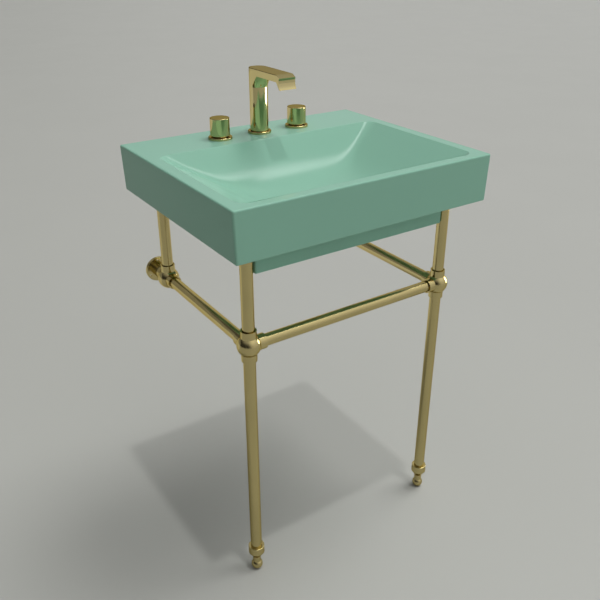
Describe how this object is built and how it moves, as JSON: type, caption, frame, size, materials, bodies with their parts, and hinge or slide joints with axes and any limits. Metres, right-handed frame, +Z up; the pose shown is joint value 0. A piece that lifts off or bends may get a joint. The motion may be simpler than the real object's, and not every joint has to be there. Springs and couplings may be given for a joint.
{
  "type": "console sink",
  "caption": "Rectangular glazed basin hung on a wall over a brass tube stand with ball joints and ball feet, with a widespread deck tap and a pop-up waste.",
  "frame": {"origin": "on the wall plane, midway between the basin's two hanger bolt holes", "axes": "+Z up, +Y into the wall, so the front faces -Y; +X to the right as seen from the front"},
  "size_m": [0.6138, 0.495, 1.0536],
  "materials": {
    "glaze": "satin glaze",
    "satin_brass": "satin",
    "polished_brass": "polished",
    "plain_brass": "as machined",
    "steel": "stamped",
    "rubber": "matte",
    "white_plastic": "moulded"
  },
  "bodies": {
    "sink": {"basin": "glaze", "cold_base_ring": "polished_brass", "cold_gasket": "rubber", "cold_link_tube": "plain_brass", "cold_nut": "plain_brass", "cold_valve_body": "plain_brass", "cold_washer": "steel", "drain_body": "polished_brass", "drain_locknut": "plain_brass", "drain_lower_gasket": "rubber", "drain_seal": "rubber", "drain_tailpiece": "plain_brass", "drain_washer": "steel", "front_rail": "satin_brass", "hot_base_ring": "polished_brass", "hot_gasket": "rubber", "hot_link_tube": "plain_brass", "hot_nut": "plain_brass", "hot_valve_body": "plain_brass", "hot_washer": "steel", "left_foot_cup": "satin_brass", "left_front_joint": "satin_brass", "left_lower_leg": "satin_brass", "left_rear_joint": "satin_brass", "left_rear_post": "satin_brass", "left_side_rail": "satin_brass", "left_upper_leg": "satin_brass", "left_wall_flange": "satin_brass", "left_wall_stub": "satin_brass", "link_nuts": "plain_brass", "mixing_tee": "plain_brass", "plug_guide": "white_plastic", "post_pads": "rubber", "right_foot_cup": "satin_brass", "right_front_joint": "satin_brass", "right_lower_leg": "satin_brass", "right_rear_joint": "satin_brass", "right_rear_post": "satin_brass", "right_side_rail": "satin_brass", "right_upper_leg": "satin_brass", "right_wall_flange": "satin_brass", "right_wall_stub": "satin_brass", "spout_base_ring": "polished_brass", "spout_body": "polished_brass", "spout_gasket": "rubber", "spout_nut": "plain_brass", "spout_outlet": "white_plastic", "spout_shank": "plain_brass", "spout_washer": "steel"},
    "hot_control": {"hot_handle": "polished_brass", "hot_stem": "plain_brass"},
    "cold_control": {"cold_handle": "polished_brass", "cold_stem": "plain_brass"},
    "pop_up": {"plug": "polished_brass"},
    "left_leveller": {"left_ball_foot": "satin_brass"},
    "right_leveller": {"right_ball_foot": "satin_brass"}
  },
  "joints": [
    {"name": "hot_turn", "type": "hinge", "parent": "sink", "child": "hot_control", "pos_m": [-0.1016, -0.074, 0.09], "axis": [0, 0, 1], "range_deg": [0, 90]},
    {"name": "cold_turn", "type": "hinge", "parent": "sink", "child": "cold_control", "pos_m": [0.1016, -0.074, 0.09], "axis": [0, 0, 1], "range_deg": [-90, 0]},
    {"name": "plug_lift", "type": "slide", "parent": "sink", "child": "pop_up", "axis": [0, 0, 1], "range_m": [0, 0.01]},
    {"name": "left_foot_level", "type": "slide", "parent": "sink", "child": "left_leveller", "axis": [0, 0, 1], "range_m": [0, 0.006]},
    {"name": "right_foot_level", "type": "slide", "parent": "sink", "child": "right_leveller", "axis": [0, 0, 1], "range_m": [0, 0.006]}
  ]
}
